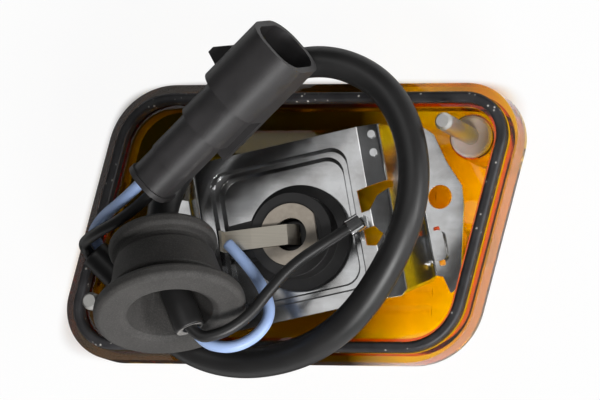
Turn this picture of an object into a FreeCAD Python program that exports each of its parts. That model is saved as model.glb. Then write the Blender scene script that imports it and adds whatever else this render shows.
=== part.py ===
import FreeCAD, Part
import math
import os
import Sketcher
from FreeCAD import Placement, Rotation, Vector

# Side indicator lamp for a road vehicle, lying on its lens with its back up.
# X runs along the long edges of the lens, Z points out of the back, z = 0 is the lens front.

doc = FreeCAD.newDocument("indicator_lamp")
sheet = doc.addObject("Spreadsheet::Sheet", "Dim")

SIZES = [
    # lens moulding
    ("lens_width", 96.8), ("lens_height", 63.2), ("lens_lean", 13.0),
    ("acute_radius", 12.0), ("obtuse_radius", 16.0),
    ("lens_depth", 24.0), ("flange_height", 8.0), ("flange_step", 2.0),
    ("front_inset", 4.8), ("front_radius", 2.0), ("face_thick", 2.5),
    ("rim_strip", 2.1), ("gasket_width", 2.4), ("gasket_clear", 0.05),
    ("groove_depth", 2.0), ("inner_lip", 0.8), ("cavity_draft", 2.0),
    ("gasket_proud", 2.5), ("gasket_round", 0.9),
    ("boss_side", 12.7), ("boss_edge", 11.4), ("boss_radius", 5.2), ("boss_top", 18.0),
    ("flute_pitch", 4.4), ("flute_height", 0.6), ("flute_width", 3.6), ("flute_length", 56.0),
    # screws and their washers
    ("screw_dia", 4.0), ("screw_tip_dia", 2.8), ("screw_tip_length", 1.2),
    ("screw_reach", 23.8), ("screw_clear", 0.15), ("shank_dia", 3.2), ("shank_rise", 0.4),
    ("head_dia", 7.2), ("head_height", 2.4), ("head_seat", 3.6), ("head_clear", 0.3),
    ("washer_dia", 9.6), ("washer_thick", 1.2), ("washer_grip", 0.02),
    # pressed bracket, in its own turned frame about the bulb axis
    ("bulb_x", 4.0), ("bulb_y", -4.2), ("bracket_turn", 12.5), ("sheet_thick", 0.8),
    ("plate_height", 7.0), ("plate_left", 21.6), ("plate_right", 18.0),
    ("plate_top", 21.5), ("plate_bottom", 18.0),
    ("foot_drop", 15.0), ("wall_run", 6.0), ("foot_right", 36.4), ("foot_left", 40.0),
    ("panel_width", 4.6), ("panel_drop", 1.6), ("panel_wall_run", 3.4),
    ("pan_step", 1.5), ("pan_depth", 3.0), ("pan_ledge", 1.0), ("pan_slope", 0.6), ("pan_rim", 3.3),
    ("pan_radius", 4.0), ("ridge_width", 3.4), ("foot_hole_dia", 5.5),
    ("pillar_radius", 4.0),
    ("crimp_bore", 2.7), ("crimp_wall", 0.6), ("crimp_length", 3.2), ("crimp_rise", 4.0),
    # bulb holder
    ("disc_dia", 24.0), ("disc_thick", 1.5), ("holder_dia", 19.0), ("holder_height", 7.4),
    ("holder_roof", 2.2), ("holder_hole", 8.0), ("ring_dia", 14.0), ("ring_hole", 7.5),
    ("ring_thick", 0.8), ("ring_flat", 6.0), ("ring_clear", 0.1),
    ("cap_clear", 0.3), ("shell_wall", 0.6), ("shell_length", 12.5), ("shell_clear", 0.05),
    ("strip_width", 4.6), ("strip_thick", 0.6), ("strip_length", 15.8), ("strip_turn", 7.0),
    ("tab_height", 2.8),
    # bulb
    ("cap_dia", 9.0), ("cap_length", 9.2), ("bulb_length", 27.5), ("glass_dia", 8.6),
    ("glass_wall", 0.6), ("cap_wall", 0.4), ("pip_dia", 3.4),
    # cable
    ("sheath_dia", 7.0), ("sheath_bore", 5.4), ("sheath_bore_depth", 6.0), ("wire_dia", 2.6),
    # grommet, along its own axis from the small end
    ("grommet_length", 20.0), ("grommet_front_dia", 34.0), ("grommet_rear_dia", 24.4),
    ("grommet_waist_dia", 20.5), ("grommet_neck_dia", 23.0), ("grommet_flange", 3.6),
    ("grommet_mouth", 19.4), ("grommet_bore", 8.2),
    # connector, along its own axis from the wire end
    ("plug_length", 45.0), ("plug_head", 16.5), ("head_wide", 15.4), ("head_tall", 19.0),
    ("plug_wide", 10.6), ("plug_tall", 12.8), ("plug_radius", 4.6),
    ("shoulder_wide", 12.4), ("shoulder_length", 10.0), ("waist_wide", 10.0), ("waist_length", 8.0),
    ("lip_wide", 11.0), ("lip_length", 1.2), ("ledge_length", 13.0), ("ledge_drop", 1.8),
    ("mouth_wall", 1.5), ("mouth_depth", 15.0), ("pin_pitch", 5.0), ("pin_wide", 1.5),
    ("wire_pitch", 3.5), ("seal_dia", 3.3), ("cap_wide", 7.8), ("cap_tall", 8.4),
    ("cap_depth", 5.0), ("fit_clear", 0.05), ("seal_grip", 0.01),
]
for row, (alias, value) in enumerate(SIZES, 1):
    sheet.set("A%d" % row, alias)
    sheet.set("B%d" % row, str(value))
    sheet.setAlias("B%d" % row, alias)
doc.recompute()


def val(text):
    """Number that an expression over the sheet has now."""
    result = sheet.evalExpression(text)
    return float(getattr(result, "Value", result))


def plane(body, role):
    return next(f for f in body.Origin.OriginFeatures if f.Role == role)


def new_body(label):
    body = doc.addObject("PartDesign::Body", label + "_body")
    body.Label = label
    return body


def new_sketch(body, role="XY_Plane", level="0"):
    """Empty sketch on an origin plane of the body, moved along its normal by an expression."""
    sketch = body.newObject("Sketcher::SketchObject", "Sketch")
    sketch.AttachmentSupport = [(plane(body, role), "")]
    sketch.MapMode = "FlatFace"
    sketch.AttachmentOffset = Placement(Vector(0, 0, val(level)), Rotation())
    sketch.setExpression("AttachmentOffset.Base.z", level)
    return sketch


def fix_point(sketch, geo, end, x, y):
    """Tie one point of a sketch to two expressions."""
    i = sketch.addConstraint(Sketcher.Constraint("DistanceX", -1, 1, geo, end, val(x)))
    sketch.setExpression("Constraints[%d]" % i, x)
    i = sketch.addConstraint(Sketcher.Constraint("DistanceY", -1, 1, geo, end, val(y)))
    sketch.setExpression("Constraints[%d]" % i, y)


def draw_polygon(sketch, points):
    """Closed polygon whose corners are pairs of expressions."""
    flat = [Vector(val(x), val(y), 0) for x, y in points]
    first = sketch.GeometryCount
    count = len(flat)
    for i in range(count):
        sketch.addGeometry(Part.LineSegment(flat[i], flat[(i + 1) % count]))
    for i in range(count):
        after = first + (i + 1) % count
        sketch.addConstraint(Sketcher.Constraint("Coincident", first + i, 2, after, 1))
    for i, (x, y) in enumerate(points):
        fix_point(sketch, first + i, 1, x, y)


def draw_circle(sketch, x, y, radius):
    centre = Vector(val(x), val(y), 0)
    geo = sketch.addGeometry(Part.Circle(centre, Vector(0, 0, 1), val(radius)))
    fix_point(sketch, geo, 3, x, y)
    i = sketch.addConstraint(Sketcher.Constraint("Radius", geo, val(radius)))
    sketch.setExpression("Constraints[%d]" % i, radius)


def draw_rounded(sketch, wide, tall, lean, near, far, x="0", y="0"):
    """Parallelogram with rounded corners: near is the radius at upper right and lower left."""
    half = "(%s) / 2" % wide
    high = "(%s) / 2" % tall
    centres = []
    for radius, sign in ((near, 1), (far, -1)):
        rise = "(%s - (%s))" % (high, radius)
        shift = "%s * tan(%s)" % (rise, lean)
        cx = "(%s %s %s - (%s) / cos(%s))" % (half, "+-"[sign < 0], shift, radius, lean)
        centres.append((cx, ("" if sign > 0 else "-") + rise, radius))
    (ax, ay, ar), (bx, by, br) = centres
    side = [(ax, high),
            (ax + " + (%s) * cos(%s)" % (ar, lean), ay + " - (%s) * sin(%s)" % (ar, lean)),
            (bx + " + (%s) * cos(%s)" % (br, lean), by + " - (%s) * sin(%s)" % (br, lean)),
            (bx, "-" + high)]
    ends = []
    for sign in ("", "-"):
        for px, py in side:
            ends.append(("%s + %s(%s)" % (x, sign, px), "%s + %s(%s)" % (y, sign, py)))
    mids = [(ax, ay, ar, ""), (bx, by, br, ""), (ax, ay, ar, "-"), (bx, by, br, "-")]
    flat = [Vector(val(px), val(py), 0) for px, py in ends]
    for k, (cx, cy, radius, sign) in enumerate(mids):
        centre = Vector(val("%s + %s(%s)" % (x, sign, cx)), val("%s + %s(%s)" % (y, sign, cy)), 0)
        start = flat[2 * k]
        stop = flat[2 * k + 1]
        begin = math.atan2(stop.y - centre.y, stop.x - centre.x)
        finish = math.atan2(start.y - centre.y, start.x - centre.x)
        if finish < begin:
            finish += 2 * math.pi
        circle = Part.Circle(centre, Vector(0, 0, 1), val(radius))
        geo = sketch.addGeometry(Part.ArcOfCircle(circle, begin, finish))
        line = sketch.addGeometry(Part.LineSegment(stop, flat[(2 * k + 2) % 8]))
        sketch.addConstraint(Sketcher.Constraint("Coincident", geo, 1, line, 1))
        if k:
            sketch.addConstraint(Sketcher.Constraint("Coincident", line - 2, 2, geo, 2))
        else:
            opening = (geo, 2)
        fix_point(sketch, line, 1, *ends[2 * k + 1])
        i = sketch.addConstraint(Sketcher.Constraint("Radius", geo, val(radius)))
        sketch.setExpression("Constraints[%d]" % i, radius)
        if k == 3:
            sketch.addConstraint(Sketcher.Constraint("Coincident", line, 2, *opening))
    for k in range(4):
        line = sketch.GeometryCount - 8 + 2 * k + 1
        fix_point(sketch, line, 2, *ends[(2 * k + 2) % 8])


def feature(body, kind, sketch, length=None, reverse=False):
    """Pad, pocket or turned feature of a body on one sketch."""
    before = body.Tip.Shape.Volume if body.Tip and not body.Tip.Shape.isNull() else 0.0
    item = body.newObject("PartDesign::" + kind, kind)
    item.Profile = sketch
    if kind in ("Pad", "Pocket"):
        if length is None:
            item.Type = "ThroughAll"
        else:
            item.Length = val(length)
            item.setExpression("Length", length)
        item.Reversed = reverse
    if kind in ("Revolution", "Groove"):
        item.ReferenceAxis = (sketch, ["V_Axis"])
        item.Angle = 360
    sketch.Visibility = False
    doc.recompute()
    after = item.Shape.Volume
    if abs(after - before) < 1e-6:
        raise ValueError("%s %s changes nothing" % (body.Label, item.Name))
    return item


def loft(body, kind, lower, upper):
    item = body.newObject("PartDesign::" + kind, kind)
    item.Profile = lower
    item.Sections = [upper]
    item.Ruled = True
    doc.recompute()
    return item


def fillet(body, radius, choose):
    """Round the edges of the body that the test picks."""
    base = body.Tip
    names = ["Edge%d" % i for i, e in enumerate(base.Shape.Edges, 1) if choose(e)]
    item = body.newObject("PartDesign::Fillet", "Fillet")
    item.Base = (base, names)
    item.Radius = val(radius)
    item.setExpression("Radius", radius)
    doc.recompute()
    return item


def level_edge(edge, height):
    box = edge.BoundBox
    return abs(box.ZMin - height) < 1e-4 and abs(box.ZMax - height) < 1e-4


def turned(label, points, body=None):
    """Solid of revolution about Z from (radius, height) pairs."""
    body = body or new_body(label)
    sketch = new_sketch(body, "XZ_Plane")
    draw_polygon(sketch, points)
    feature(body, "Revolution", sketch)
    return body


def place(body, x="0", y="0", z="0", turn=None):
    """Bind the place of a body to the sheet, turned about Z."""
    body.Placement = Placement(Vector(val(x), val(y), val(z)), Rotation())
    for axis, text in zip("xyz", (x, y, z)):
        body.setExpression("Placement.Base." + axis, text)
    if turn:
        body.Placement.Rotation = Rotation(Vector(0, 0, 1), val(turn))
        body.setExpression("Placement.Rotation.Angle", turn)


NODES = []

# Lens: amber cup with a deeper flange, a groove for the gasket and two screw bosses.
INSET_GASKET = "Dim.rim_strip"
INSET_LIP = "(Dim.rim_strip + Dim.gasket_width + 2 * Dim.gasket_clear)"
INSET_CAVITY = "(%s + Dim.inner_lip)" % INSET_LIP


def draw_outline(sketch, inset):
    """Lens outline moved inwards by an expression."""
    draw_rounded(sketch, "Dim.lens_width - 2 * (%s) / cos(Dim.lens_lean)" % inset,
                 "Dim.lens_height - 2 * (%s)" % inset, "Dim.lens_lean",
                 "(Dim.acute_radius - (%s))" % inset, "(Dim.obtuse_radius - (%s))" % inset)


lens = new_body("lens")
sketch = new_sketch(lens, level="Dim.lens_depth - Dim.flange_height")
draw_outline(sketch, "0")
feature(lens, "Pad", sketch, "Dim.flange_height")
low = new_sketch(lens)
draw_outline(low, "Dim.front_inset")
high = new_sketch(lens, level="Dim.lens_depth - Dim.flange_height")
draw_outline(high, "Dim.flange_step")
loft(lens, "AdditiveLoft", low, high)
low = new_sketch(lens, level="Dim.face_thick")
draw_outline(low, INSET_CAVITY + " + Dim.cavity_draft")
high = new_sketch(lens, level="Dim.lens_depth")
draw_outline(high, INSET_CAVITY)
loft(lens, "SubtractiveLoft", low, high)
sketch = new_sketch(lens, level="Dim.lens_depth")
draw_outline(sketch, INSET_GASKET)
draw_outline(sketch, INSET_LIP)
feature(lens, "Pocket", sketch, "Dim.groove_depth")
fillet(lens, "Dim.front_radius", lambda e: level_edge(e, 0))
BOSS_Y = "(Dim.lens_height / 2 - Dim.boss_edge)"
BOSS_X = "(Dim.lens_width / 2 + %s * tan(Dim.lens_lean) - Dim.boss_side)" % BOSS_Y
PILLARS = [("Dim.bulb_x + 29.4 * cos(Dim.bracket_turn) + 4.2 * sin(Dim.bracket_turn)",
            "Dim.bulb_y + 29.4 * sin(Dim.bracket_turn) - 4.2 * cos(Dim.bracket_turn)"),
           ("Dim.bulb_x - 33 * cos(Dim.bracket_turn) - 6 * sin(Dim.bracket_turn)",
            "Dim.bulb_y - 33 * sin(Dim.bracket_turn) + 6 * cos(Dim.bracket_turn)")]
sketch = new_sketch(lens, level="Dim.face_thick / 2")
draw_circle(sketch, BOSS_X, BOSS_Y, "Dim.boss_radius")
draw_circle(sketch, "-" + BOSS_X, "-" + BOSS_Y, "Dim.boss_radius")
feature(lens, "Pad", sketch, "Dim.boss_top - Dim.face_thick / 2")
FOOT_UNDER = "(Dim.lens_depth + Dim.plate_height - Dim.foot_drop - Dim.sheet_thick)"
sketch = new_sketch(lens, level="Dim.face_thick / 2")
for px, py in PILLARS:
    draw_circle(sketch, px, py, "Dim.pillar_radius")
feature(lens, "Pad", sketch, FOOT_UNDER + " - Dim.face_thick / 2")
sketch = new_sketch(lens)
draw_circle(sketch, BOSS_X, BOSS_Y, "Dim.screw_dia / 2 + Dim.screw_clear")
draw_circle(sketch, "-" + BOSS_X, "-" + BOSS_Y, "Dim.screw_dia / 2 + Dim.screw_clear")
feature(lens, "Pocket", sketch, reverse=True)
sketch = new_sketch(lens)
draw_circle(sketch, BOSS_X, BOSS_Y, "Dim.head_dia / 2 + Dim.head_clear")
draw_circle(sketch, "-" + BOSS_X, "-" + BOSS_Y, "Dim.head_dia / 2 + Dim.head_clear")
feature(lens, "Pocket", sketch, "Dim.head_seat", reverse=True)
flute = new_sketch(lens, "YZ_Plane", "-Dim.flute_length / 2")
draw_polygon(flute, [("-4 * Dim.flute_pitch - Dim.flute_width / 2", "Dim.face_thick - 0.2"),
                     ("-4 * Dim.flute_pitch + Dim.flute_width / 2", "Dim.face_thick - 0.2"),
                     ("-4 * Dim.flute_pitch", "Dim.face_thick + Dim.flute_height")])
ridge = feature(lens, "Pad", flute, "Dim.flute_length")
row = lens.newObject("PartDesign::LinearPattern", "Flutes")
row.Originals = [ridge]
row.Direction = (plane(lens, "Y_Axis"), [""])
row.Length = val("8 * Dim.flute_pitch")
row.setExpression("Length", "8 * Dim.flute_pitch")
row.Occurrences = 9
lens.Tip = row
doc.recompute()
NODES.append(lens)

# Gasket: black rubber ring with a rounded crown, lying in the groove.
gasket = new_body("perimeter_gasket")
sketch = new_sketch(gasket, level="Dim.lens_depth - Dim.groove_depth")
draw_outline(sketch, "Dim.rim_strip + Dim.gasket_clear")
draw_outline(sketch, "Dim.rim_strip + Dim.gasket_clear + Dim.gasket_width")
feature(gasket, "Pad", sketch, "Dim.groove_depth + Dim.gasket_proud")
crown = val("Dim.lens_depth + Dim.gasket_proud")
fillet(gasket, "Dim.gasket_round", lambda e: level_edge(e, crown))
NODES.append(gasket)

SHELL = "(Dim.cap_dia + 2 * Dim.cap_clear + 2 * Dim.shell_wall)"

# Bracket: pressed steel plate with a stepped pan, two sloped walls and two feet.
bracket = new_body("bracket")
TOP = "(Dim.lens_depth + Dim.plate_height)"
FOOT = "(%s - Dim.foot_drop)" % TOP
WALL = "atan(Dim.foot_drop / Dim.wall_run)"
PANEL = "atan(Dim.panel_drop / Dim.panel_width)"
STEEP = "atan((Dim.foot_drop - Dim.panel_drop) / Dim.panel_wall_run)"
PANEL_END = "(Dim.plate_right + Dim.panel_width)"
sketch = new_sketch(bracket, "XZ_Plane", "-Dim.plate_top")
# Corners of the upper side, each with the slopes of the sheet before and after it.
LEVEL = "0 deg"
CORNERS = [("-Dim.foot_left", FOOT, LEVEL, LEVEL),
           ("-Dim.plate_left - Dim.wall_run", FOOT, LEVEL, "-" + WALL),
           ("-Dim.plate_left", TOP, "-" + WALL, LEVEL), ("Dim.plate_right", TOP, LEVEL, PANEL),
           (PANEL_END, TOP + " - Dim.panel_drop", PANEL, STEEP),
           (PANEL_END + " + Dim.panel_wall_run", FOOT, STEEP, LEVEL),
           ("Dim.foot_right", FOOT, LEVEL, LEVEL)]
upper = []
under = []
for x, z, before, after in CORNERS:
    mean = "((%s + %s) / 2)" % (before, after)
    half = "((%s - (%s)) / 2)" % (after, before)
    upper.append((x, z))
    under.append(("%s - Dim.sheet_thick * sin(%s) / cos(%s)" % (x, mean, half),
                  "%s - Dim.sheet_thick * cos(%s) / cos(%s)" % (z, mean, half)))
draw_polygon(sketch, upper + under[::-1])
feature(bracket, "Pad", sketch, "Dim.plate_top + Dim.plate_bottom")
bends = [(val(x), val(z)) for x, z in upper[1:-1]]


def at_bend(edge):
    box = edge.BoundBox
    if box.XLength > 1e-4 or box.ZLength > 1e-4:
        return False
    return any(abs(box.XMin - x) < 1e-3 and abs(box.ZMin - z) < 1e-3 for x, z in bends)


fillet(bracket, "1.2 * Dim.sheet_thick", at_bend)
# The pan steps down twice from the plate, each step as thick as the sheet.
PAN_X = "((Dim.plate_right - Dim.ridge_width - Dim.plate_left + Dim.pan_rim) / 2)"
PAN_Y = "((Dim.plate_top - Dim.plate_bottom) / 2)"
PAN_W = "(Dim.plate_right - Dim.ridge_width + Dim.plate_left - Dim.pan_rim)"
PAN_H = "(Dim.plate_top + Dim.plate_bottom - 2 * Dim.pan_rim)"


def pan_shape(level, shrink, radius):
    sketch = new_sketch(bracket, level=level)
    draw_rounded(sketch, "%s - 2 * (%s)" % (PAN_W, shrink), "%s - 2 * (%s)" % (PAN_H, shrink),
                 "0", radius, radius, PAN_X, PAN_Y)
    return sketch


PAN_STEPS = [("0", "Dim.pan_step", "0"),
             ("Dim.pan_step", "Dim.pan_depth", "(Dim.pan_ledge + Dim.pan_slope)")]
for start, depth, shrink in PAN_STEPS:
    outer = "%s - Dim.sheet_thick" % shrink
    skin = "Dim.pan_radius + Dim.sheet_thick"
    low = pan_shape("%s - %s - Dim.sheet_thick" % (TOP, depth), outer + " + Dim.pan_slope", skin)
    high = pan_shape("%s - %s" % (TOP, start), outer, skin)
    loft(bracket, "AdditiveLoft", low, high)
for start, depth, shrink in PAN_STEPS:
    low = pan_shape("%s - %s" % (TOP, depth), shrink + " + Dim.pan_slope", "Dim.pan_radius")
    high = pan_shape("%s - %s" % (TOP, start), shrink, "Dim.pan_radius")
    loft(bracket, "SubtractiveLoft", low, high)
# Plan outline of the feet, cut back round the screw bosses and relieved beside the walls:
# runs of corners, each measured from one corner of the plate.
FEET = [("Dim.plate_right", "Dim.plate_top",
         [(0.6, 0.0), (11.0, 0.0), (13.6, -2.5), (15.4, -9.3), (18.0, -15.5), (17.6, -20.0)]),
        ("Dim.plate_right", "-Dim.plate_bottom",
         [(15.4, 9.6), (13.4, 1.2), (11.0, 0.6), (10.0, 4.6), (8.4, 5.2), (3.4, 0.0)]),
        ("-Dim.plate_left", "-Dim.plate_bottom",
         [(-0.6, 0.0), (-1.8, 2.8), (-11.4, 5.0), (-14.4, 7.5), (-17.0, 14.0)]),
        ("-Dim.plate_left", "Dim.plate_top",
         [(-17.8, -19.5), (-16.6, -13.5), (-15.2, -9.4), (-12.6, -0.6), (-9.4, 0.0), (-8.2, -4.3),
          (-6.6, -4.9), (-1.4, 0.0)])]


def offset_text(base, number):
    return "%s %s %.3f" % (base, "-" if number < 0 else "+", abs(number))


around = []
for side, end, run in FEET:
    around += [(offset_text(side, u), offset_text(end, v)) for u, v in run]
sketch = new_sketch(bracket, level="-5")
draw_polygon(sketch, around)
draw_polygon(sketch, [("-90", "-70"), ("90", "-70"), ("90", "70"), ("-90", "70")])
feature(bracket, "Pocket", sketch, reverse=True)
# Hole for the bulb holder, the round hole of each foot and the lanced openings of the earth tongue.
sketch = new_sketch(bracket, level="-5")
draw_circle(sketch, "0", "0", SHELL + " / 2 + Dim.shell_clear")
draw_circle(sketch, "Dim.plate_right + 12.5", "4.6", "Dim.foot_hole_dia / 2")
draw_circle(sketch, "-Dim.plate_left - 12.5", "-1.1", "Dim.foot_hole_dia / 2")
LANCES = [[(-2.4, 7.2), (5.2, 8.6), (5.1, 6.9), (1.8, 5.3), (-0.2, 2.3), (-2.2, 2.1)],
          [(-2.4, -1.8), (0.2, -1.4), (1.8, -3.5), (-0.1, -5.9), (-2.3, -5.4)]]
for lance in LANCES:
    draw_polygon(sketch, [(offset_text("Dim.plate_right", u), "%.2f" % v) for u, v in lance])
feature(bracket, "Pocket", sketch, reverse=True)
# Two pips pressed up out of the sloped panel.
sketch = new_sketch(bracket, level=TOP + " - 0.65 * Dim.panel_drop - Dim.sheet_thick / 2")
draw_circle(sketch, "Dim.plate_right + 3.0", "Dim.plate_top - 2.2", "0.9")
draw_circle(sketch, "Dim.plate_right + 2.8", "Dim.plate_top - 6.4", "0.9")
feature(bracket, "Pad", sketch, "Dim.sheet_thick / 2 + 0.5")
# Raised clip bridge on each foot.
for cx, cy in (("Dim.plate_right + 10.4", "-6.4"), ("-Dim.plate_left - 10.4", "9.9")):
    sketch = new_sketch(bracket, level=FOOT + " - Dim.sheet_thick / 2")
    draw_rounded(sketch, "3", "7", "0", "1.2", "1.2", cx, cy)
    feature(bracket, "Pad", sketch, "Dim.sheet_thick / 2 + 1.2")
    sketch = new_sketch(bracket, level=FOOT + " - Dim.sheet_thick")
    draw_rounded(sketch, "1.4", "9", "0", "0.3", "0.3", cx, cy)
    feature(bracket, "Pocket", sketch, "Dim.sheet_thick + 0.5", reverse=True)
# Earth crimp: a rolled barrel on a short tongue of the ridge, for the black wire.
CRIMP = (14.6, -1.0)
CRIMP_TURN = 25.0
CRIMP_DIP = 20.0
sketch = new_sketch(bracket, level=TOP + " - Dim.sheet_thick / 2")
draw_polygon(sketch, [("13.2", "-2.4"), ("Dim.plate_right - 1.4", "-1.4"),
                      ("Dim.plate_right - 1.4", "1.2"), ("12.8", "-0.6")])
feature(bracket, "Pad", sketch,
        "Dim.sheet_thick / 2 + Dim.crimp_rise - Dim.crimp_bore / 2 - 1.4 * Dim.crimp_wall")
barrel = new_sketch(bracket)
tilt = Rotation(Vector(0, 0, 1), CRIMP_TURN).multiply(Rotation(Vector(0, 1, 0), 90 + CRIMP_DIP))
along = tilt.multVec(Vector(0, 0, 1)) * (val("Dim.crimp_length") / 2)
barrel.AttachmentOffset = Placement(Vector(CRIMP[0], CRIMP[1], 0) - along, tilt)
barrel.setExpression("AttachmentOffset.Base.z",
                     TOP + " + Dim.crimp_rise - %.5f" % along.z)
draw_circle(barrel, "0", "0", "Dim.crimp_bore / 2 + Dim.crimp_wall")
draw_circle(barrel, "0", "0", "Dim.crimp_bore / 2")
feature(bracket, "Pad", barrel, "Dim.crimp_length")
place(bracket, "Dim.bulb_x", "Dim.bulb_y", "0", "Dim.bracket_turn")
NODES.append(bracket)

# Bulb holder: black insulator with a wide foot, a boss and an arm under the contact strip.
PAN_FLOOR = "(%s - Dim.pan_depth)" % TOP
ROOF = "(%s + Dim.holder_height)" % PAN_FLOOR
BORE = SHELL + " / 2 + Dim.shell_clear"
holder = turned("socket_body", [
    (BORE, PAN_FLOOR), ("Dim.disc_dia / 2", PAN_FLOOR),
    ("Dim.disc_dia / 2", PAN_FLOOR + " + Dim.disc_thick"),
    ("Dim.holder_dia / 2", PAN_FLOOR + " + Dim.disc_thick + 0.6"), ("Dim.holder_dia / 2", ROOF),
    ("Dim.ring_dia / 2 + Dim.ring_clear", ROOF),
    ("Dim.ring_dia / 2 + Dim.ring_clear", ROOF + " - Dim.ring_thick / 2"),
    ("Dim.holder_hole / 2", ROOF + " - Dim.ring_thick / 2"),
    ("Dim.holder_hole / 2", ROOF + " - Dim.holder_roof"), (BORE, ROOF + " - Dim.holder_roof")])
sketch = new_sketch(holder, level=PAN_FLOOR)
draw_polygon(sketch, [("-Dim.strip_length + 1.2", "-3.6"), ("-Dim.holder_dia / 2 + 1.5", "-4.4"),
                      ("-Dim.holder_dia / 2 + 1.5", "4.4"), ("-Dim.strip_length + 1.2", "3.6")])
feature(holder, "Pad", sketch, "Dim.holder_height - 0.3")
place(holder, "Dim.bulb_x", "Dim.bulb_y", "0", "Dim.strip_turn")
NODES.append(holder)

# Bayonet barrel: plated tube through the pan, with two slots for the bulb pins.
shell = turned("socket_shell", [
    (SHELL + " / 2 - Dim.shell_wall", ROOF + " - Dim.holder_roof - Dim.shell_length"),
    (SHELL + " / 2", ROOF + " - Dim.holder_roof - Dim.shell_length"),
    (SHELL + " / 2", ROOF + " - Dim.holder_roof"),
    (SHELL + " / 2 - Dim.shell_wall", ROOF + " - Dim.holder_roof")])
sketch = new_sketch(shell, level=ROOF + " - Dim.holder_roof - Dim.shell_length")
draw_polygon(sketch, [("-" + SHELL, "-1.1"), (SHELL, "-1.1"), (SHELL, "1.1"), ("-" + SHELL, "1.1")])
feature(shell, "Pocket", sketch, "Dim.shell_length - 4.6", reverse=True)
place(shell, "Dim.bulb_x", "Dim.bulb_y", "0", "Dim.bracket_turn")
NODES.append(shell)

# Insulating ring on the boss, with one flat side.
ring = new_body("contact_washer")
sketch = new_sketch(ring, level=ROOF + " - Dim.ring_thick / 2")
draw_circle(sketch, "0", "0", "Dim.ring_dia / 2")
draw_circle(sketch, "0", "0", "Dim.ring_hole / 2")
feature(ring, "Pad", sketch, "Dim.ring_thick")
sketch = new_sketch(ring, level=ROOF + " + Dim.ring_thick")
draw_polygon(sketch, [("Dim.ring_flat", "-9"), ("Dim.ring_dia", "-9"), ("Dim.ring_dia", "9"),
                      ("Dim.ring_flat", "9")])
feature(ring, "Pocket", sketch, "2 * Dim.ring_thick")
place(ring, "Dim.bulb_x", "Dim.bulb_y", "0", "Dim.bracket_turn")
NODES.append(ring)

# Live contact: sprung strip on the ring, bent down to the bulb and up at the wire end.
strip = new_body("contact_strip")
SEAT = "(%s + Dim.ring_thick / 2)" % ROOF
CONTACT = "(%s - Dim.holder_roof + 0.6)" % ROOF
sketch = new_sketch(strip, "XZ_Plane", "-Dim.strip_width / 2")
THICK = "Dim.strip_thick"
END = "-Dim.strip_length"
draw_polygon(sketch, [
    (END, SEAT + " + Dim.tab_height"), (END, SEAT + " - 0.2"), ("-9", SEAT), ("-0.8", SEAT),
    ("0.9", CONTACT), ("0.9 + 1.3 * " + THICK, CONTACT),
    ("-0.8 + 0.5 * " + THICK, SEAT + " + " + THICK), ("-9", SEAT + " + " + THICK),
    (END + " + " + THICK, SEAT + " - 0.2 + " + THICK),
    (END + " + " + THICK, SEAT + " + Dim.tab_height")])
feature(strip, "Pad", sketch, "Dim.strip_width")
place(strip, "Dim.bulb_x", "Dim.bulb_y", "0", "Dim.strip_turn")
NODES.append(strip)

# Bulb: brass cap with two pins, black glass insulator, solder contact, clear bulb and filament.
CAP_TOP = "(%s - 1.8)" % CONTACT
CAP_END = "(%s - Dim.cap_length)" % CAP_TOP
CAP_BORE = "(Dim.cap_dia / 2 - Dim.cap_wall)"
cap = turned("bulb_cap", [(CAP_BORE, CAP_END), ("Dim.cap_dia / 2", CAP_END),
                          ("Dim.cap_dia / 2", CAP_TOP), (CAP_BORE, CAP_TOP)])
PIN_Z = "(%s - 4.7)" % CAP_TOP
PIN_OUT = "(%s / 2 - 0.1)" % SHELL
for side in ("", "-"):
    sketch = new_sketch(cap, "YZ_Plane", side + "(%s + 0.1)" % CAP_BORE)
    draw_circle(sketch, "0", PIN_Z, "1.0")
    feature(cap, "Pad", sketch, PIN_OUT + " - %s - 0.1" % CAP_BORE, reverse=bool(side))
PIP = "Dim.pip_dia / 2"
insulator = turned("bulb_insulator", [
    ("0", CONTACT + " - 2.8"), (CAP_BORE, CONTACT + " - 2.8"), (CAP_BORE, CONTACT + " - 1.6"),
    ("3.2", CONTACT + " - 0.6"), (PIP, CONTACT + " - 0.6"), (PIP, CONTACT + " - 1.2"),
    ("0", CONTACT + " - 1.2")])
pip = turned("bulb_contact", [("0", CONTACT + " - 1.2"), (PIP, CONTACT + " - 1.2"),
                              (PIP, CONTACT + " - 0.3"), (PIP + " - 0.6", CONTACT),
                              ("0", CONTACT)])
TIP = "(%s - Dim.bulb_length)" % CONTACT
ROUND = [(0.0, 0.0), (0.30, 0.03), (0.57, 0.12), (0.79, 0.28), (0.94, 0.52), (1.0, 0.85)]
outside = []
inside = []
for share, rise in ROUND:
    outside.append(("%.2f * Dim.glass_dia / 2" % share, TIP + " + %.2f * Dim.glass_dia / 2" % rise))
    inside.append(("%.2f * (Dim.glass_dia / 2 - Dim.glass_wall)" % share,
                   TIP + " + Dim.glass_wall + %.2f * (Dim.glass_dia / 2 - Dim.glass_wall)" % rise))
NECK = "(%s - 0.05)" % CAP_BORE
outside += [("Dim.glass_dia / 2", CAP_END + " - 1.2"), (NECK, CAP_END + " - 0.4"),
            (NECK, CAP_END + " + 2.4")]
inside += [("Dim.glass_dia / 2 - Dim.glass_wall", CAP_END + " - 1.4"),
           (NECK + " - Dim.glass_wall", CAP_END + " - 0.6"),
           (NECK + " - Dim.glass_wall", CAP_END + " + 2.4")]
glass = turned("bulb_glass", outside + inside[::-1])
filament = turned("bulb_filament", [
    ("0", CAP_END + " + 0.6"), (NECK + " - Dim.glass_wall", CAP_END + " + 0.6"),
    (NECK + " - Dim.glass_wall", CAP_END + " + 1.8"), ("0", CAP_END + " + 1.8")])
sketch = new_sketch(filament, level=CAP_END + " + 1.0")
draw_circle(sketch, "-1.6", "0", "0.25")
draw_circle(sketch, "1.6", "0", "0.25")
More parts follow.
